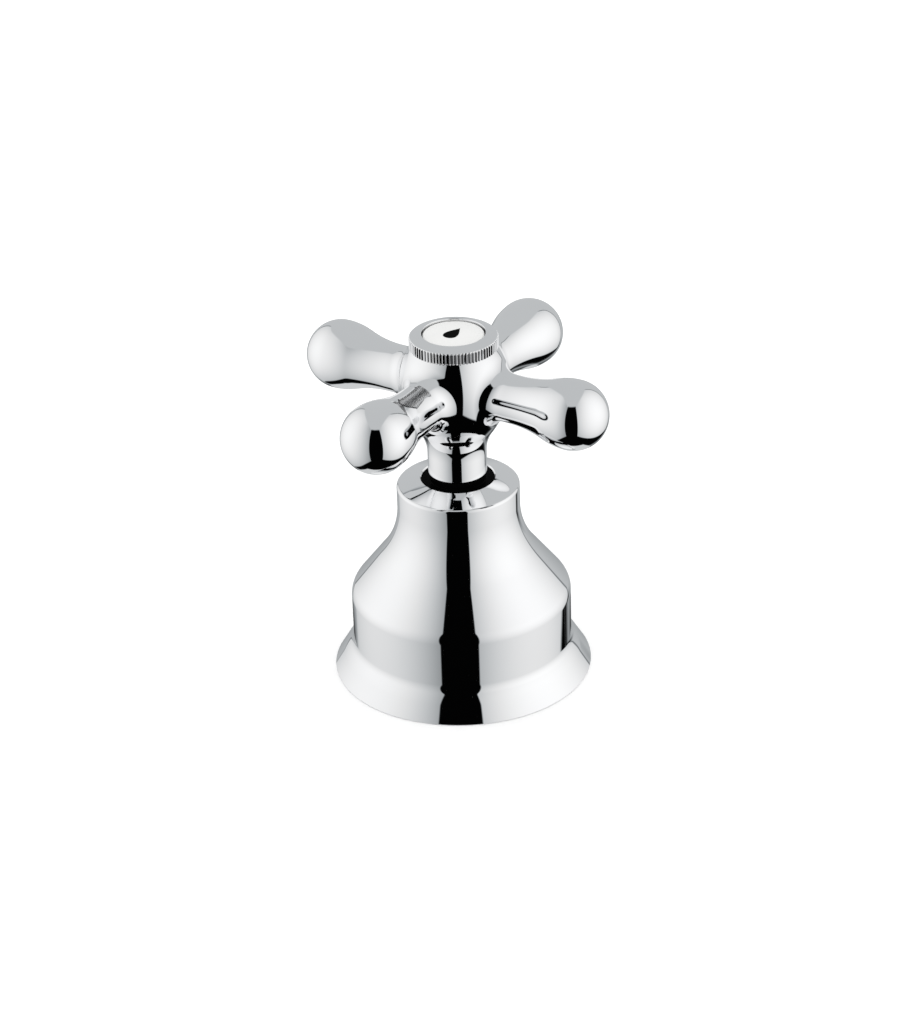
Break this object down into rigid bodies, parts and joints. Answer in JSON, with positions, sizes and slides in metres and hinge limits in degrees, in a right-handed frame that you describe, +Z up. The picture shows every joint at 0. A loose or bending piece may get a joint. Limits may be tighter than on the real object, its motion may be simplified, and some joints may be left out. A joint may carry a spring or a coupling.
{
  "type": "cross handle tap",
  "caption": "Deck tap: a bell-shaped escutcheon and a cross handle with swelling arms, a knurled index ring and a porcelain button, on a quarter-turn ceramic disc headwork.",
  "frame": {"origin": "centre of the bell's foot, on the deck", "axes": "+Z up along the spindle; the arms of the closed tap point along X and Y"},
  "size_m": [0.0782, 0.0782, 0.0847],
  "materials": {
    "chrome_plate": "mirror-polished chrome plate",
    "brass": "machined",
    "steel": "stainless, turned",
    "black_rubber": "matt",
    "black_plastic": "satin acetal",
    "white_plastic": "satin",
    "ceramic": "lapped alumina",
    "porcelain": "glazed white"
  },
  "bodies": {
    "tap_body": {"bell_escutcheon": "chrome_plate", "base_gasket": "black_rubber", "guide_bush": "black_plastic", "extension_sleeve": "brass", "headwork_body": "brass", "headwork_seal_ring": "black_rubber", "seat_seal": "black_rubber", "fixed_ceramic_disc": "ceramic", "friction_washer": "white_plastic"},
    "handle": {"cross_handle": "chrome_plate", "spline_insert": "white_plastic", "lock_washer": "steel", "handle_screw": "steel", "index_ring": "chrome_plate", "index_ring_seal": "black_rubber", "index_button": "porcelain", "spindle": "brass", "spindle_orings": "black_rubber", "stem_circlip": "steel", "spindle_extension": "brass", "extension_grub_screw": "steel", "moving_ceramic_disc": "ceramic"}
  },
  "joints": [
    {"name": "handle_turn", "type": "hinge", "parent": "tap_body", "child": "handle", "pos_m": [0, 0, 0.0719], "axis": [0, 0, 1], "range_deg": [0, 90]}
  ]
}
